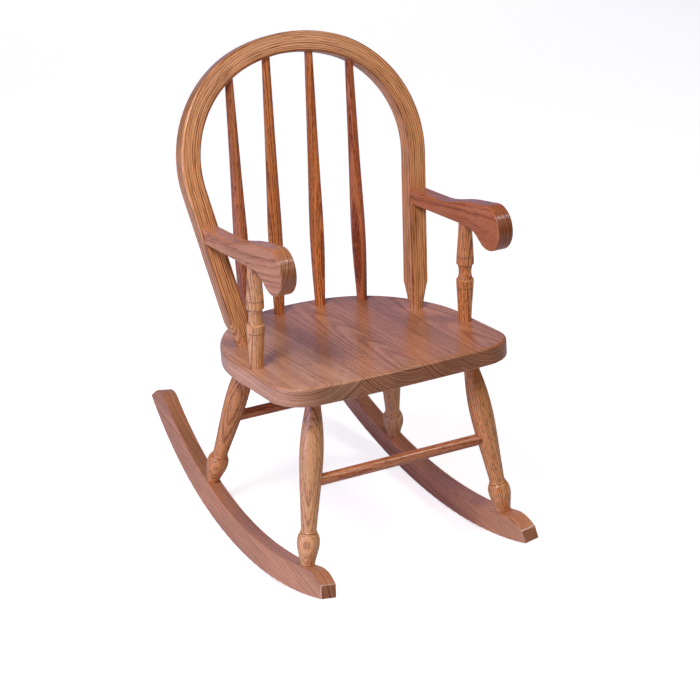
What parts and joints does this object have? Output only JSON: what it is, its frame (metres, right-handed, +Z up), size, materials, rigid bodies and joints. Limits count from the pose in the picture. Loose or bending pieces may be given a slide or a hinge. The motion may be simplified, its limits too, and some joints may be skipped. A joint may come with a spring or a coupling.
{
  "type": "rocking chair",
  "caption": "Child-size hoop back rocking chair in oak, with turned spindles and legs, scroll arms and curved rockers.",
  "frame": {"origin": "on the floor under the middle of the chair's bounding box", "axes": "+X to the sitter's left, +Y to the chair's back (it faces -Y), +Z up, with the chair at its balance on the rockers"},
  "size_m": [0.3806, 0.6104, 0.7007],
  "materials": {
    "seat_oak": "stained oak under satin lacquer",
    "hoop_oak": "stained oak under satin lacquer",
    "spindle_oak": "stained oak under satin lacquer",
    "arm_oak": "stained oak under satin lacquer",
    "post_oak": "stained oak under satin lacquer",
    "leg_oak": "stained oak under satin lacquer",
    "stretcher_oak": "stained oak under satin lacquer",
    "rocker_oak": "stained oak under satin lacquer",
    "plug_oak": "stained oak under satin lacquer",
    "steel": "plain wire nail and screw steel"
  },
  "bodies": {
    "root": {"seat_board_1": "seat_oak", "seat_board_2": "seat_oak", "seat_board_3": "seat_oak", "seat_board_4": "seat_oak", "hoop": "hoop_oak", "spindle_1": "spindle_oak", "spindle_2": "spindle_oak", "spindle_3": "spindle_oak", "spindle_4": "spindle_oak", "arm_left": "arm_oak", "arm_right": "arm_oak", "arm_post_left": "post_oak", "arm_post_right": "post_oak", "leg_front_left": "leg_oak", "leg_front_right": "leg_oak", "leg_rear_left": "leg_oak", "leg_rear_right": "leg_oak", "stretcher_front": "stretcher_oak", "stretcher_rear": "stretcher_oak", "rocker_left": "rocker_oak", "rocker_right": "rocker_oak", "arm_plugs": "plug_oak", "arm_screws": "steel", "rocker_brads": "steel"}
  },
  "joints": []
}
